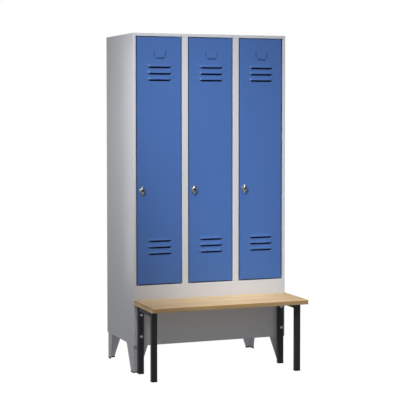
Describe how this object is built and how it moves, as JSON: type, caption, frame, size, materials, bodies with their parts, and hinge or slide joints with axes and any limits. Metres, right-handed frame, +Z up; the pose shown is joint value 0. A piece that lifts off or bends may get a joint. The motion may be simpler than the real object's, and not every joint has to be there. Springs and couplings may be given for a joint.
{
  "type": "locker with bench",
  "caption": "Tall steel cloakroom locker on feet, with hinged compartment doors, louvres and turn locks, and a wooden seat on a black tube frame bolted to its front.",
  "frame": {"origin": "on the floor, under the middle of the box round the whole object, bench included", "axes": "+Z up; the locker's front and the bench face -Y; +X to the right of someone facing the doors"},
  "size_m": [0.9, 0.815, 1.85],
  "materials": {
    "light_grey_paint": "satin powder coat",
    "blue_paint": "satin powder coat",
    "black_paint": "satin powder coat",
    "beech": "clear lacquer",
    "bright_metal": "plated, polished",
    "zinc": "zinc plated",
    "black_plastic": "matte"
  },
  "bodies": {
    "locker": {"side_panel_left": "light_grey_paint", "side_panel_right": "light_grey_paint", "back_panel": "light_grey_paint", "top_panel": "light_grey_paint", "base_panel": "light_grey_paint", "compartment_floor": "light_grey_paint", "partition_1": "light_grey_paint", "partition_2": "light_grey_paint", "post_left": "light_grey_paint", "post_right": "light_grey_paint", "mullion_1": "light_grey_paint", "mullion_2": "light_grey_paint", "lower_front_panel": "light_grey_paint", "door_stop_1": "light_grey_paint", "door_stop_2": "light_grey_paint", "door_stop_3": "light_grey_paint", "hat_shelf_1": "light_grey_paint", "hat_shelf_2": "light_grey_paint", "hat_shelf_3": "light_grey_paint", "clothes_rail_1": "zinc", "clothes_rail_2": "zinc", "clothes_rail_3": "zinc", "foot_front_left": "light_grey_paint", "foot_front_right": "light_grey_paint", "foot_rear_left": "light_grey_paint", "foot_rear_right": "light_grey_paint", "foot_cap_front_left": "black_plastic", "foot_cap_front_right": "black_plastic", "foot_cap_rear_left": "black_plastic", "foot_cap_rear_right": "black_plastic", "seat_board": "beech", "bench_leg_front_left": "black_paint", "bench_leg_front_right": "black_paint", "bench_leg_rear_left": "black_paint", "bench_leg_rear_right": "black_paint", "bench_rail_left": "black_paint", "bench_rail_right": "black_paint", "leg_cap_front_left": "black_plastic", "leg_cap_front_right": "black_plastic", "leg_cap_rear_left": "black_plastic", "leg_cap_rear_right": "black_plastic", "bench_bolt_upper_left": "zinc", "bench_bolt_upper_right": "zinc", "bench_bolt_lower_left": "zinc", "bench_bolt_lower_right": "zinc"},
    "left_door": {"door_1": "blue_paint", "door_1_stiffener": "blue_paint", "lock_1_base": "bright_metal"},
    "middle_door": {"door_2": "blue_paint", "door_2_stiffener": "blue_paint", "lock_2_base": "bright_metal"},
    "right_door": {"door_3": "blue_paint", "door_3_stiffener": "blue_paint", "lock_3_base": "bright_metal"},
    "left_lock": {"lock_1_knob": "bright_metal", "lock_1_cam": "zinc"},
    "middle_lock": {"lock_2_knob": "bright_metal", "lock_2_cam": "zinc"},
    "right_lock": {"lock_3_knob": "bright_metal", "lock_3_cam": "zinc"}
  },
  "joints": [
    {"name": "left_door_hinge", "type": "hinge", "parent": "locker", "child": "left_door", "pos_m": [-0.184, -0.085, 0.484], "axis": [0, 0, 1], "range_deg": [0, 110]},
    {"name": "middle_door_hinge", "type": "hinge", "parent": "locker", "child": "middle_door", "pos_m": [0.116, -0.085, 0.484], "axis": [0, 0, 1], "range_deg": [0, 110]},
    {"name": "right_door_hinge", "type": "hinge", "parent": "locker", "child": "right_door", "pos_m": [0.416, -0.085, 0.484], "axis": [0, 0, 1], "range_deg": [0, 110]},
    {"name": "left_lock_turn", "type": "hinge", "parent": "left_door", "child": "left_lock", "pos_m": [-0.4, -0.0905, 0.996], "axis": [0, 1, 0], "range_deg": [0, 90]},
    {"name": "middle_lock_turn", "type": "hinge", "parent": "middle_door", "child": "middle_lock", "pos_m": [-0.1, -0.0905, 0.996], "axis": [0, 1, 0], "range_deg": [0, 90]},
    {"name": "right_lock_turn", "type": "hinge", "parent": "right_door", "child": "right_lock", "pos_m": [0.2, -0.0905, 0.996], "axis": [0, 1, 0], "range_deg": [0, 90]}
  ]
}
